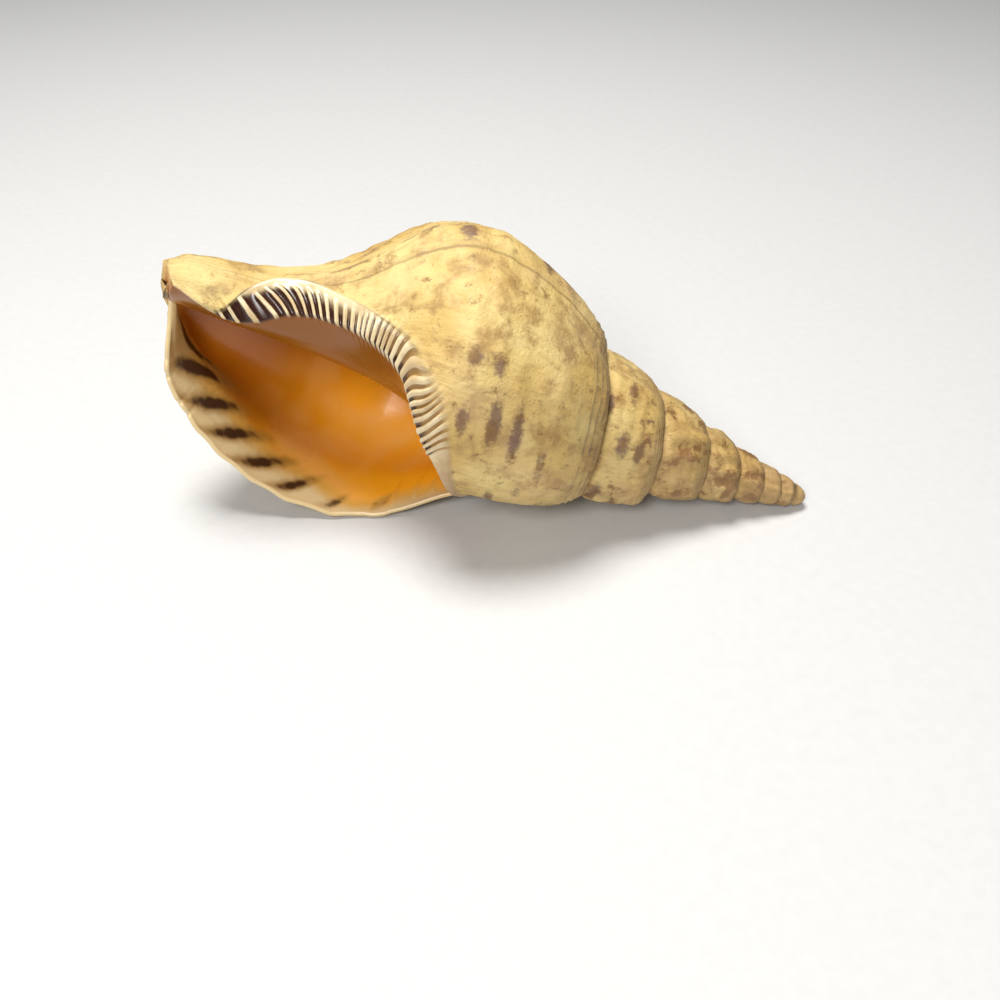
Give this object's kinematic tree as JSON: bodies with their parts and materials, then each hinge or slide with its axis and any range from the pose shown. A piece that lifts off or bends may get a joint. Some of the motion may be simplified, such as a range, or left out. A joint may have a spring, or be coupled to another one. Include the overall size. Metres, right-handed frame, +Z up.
{
  "type": "triton's trumpet shell",
  "caption": "Large spired sea snail shell lying on its side, with a wide flared orange mouth, a toothed inner lip and a worn cream and brown surface.",
  "frame": {"origin": "centre of the bounding box at the surface the shell rests on", "axes": "+X towards the apex of the spire, -Y the side the mouth opens to, +Z up"},
  "size_m": [0.2146, 0.0944, 0.0956],
  "materials": {
    "shell": "worn chalky cream outside with brown spots, glazed orange and cream inside the mouth"
  },
  "bodies": {
    "root": {"shell": "shell"}
  },
  "joints": []
}
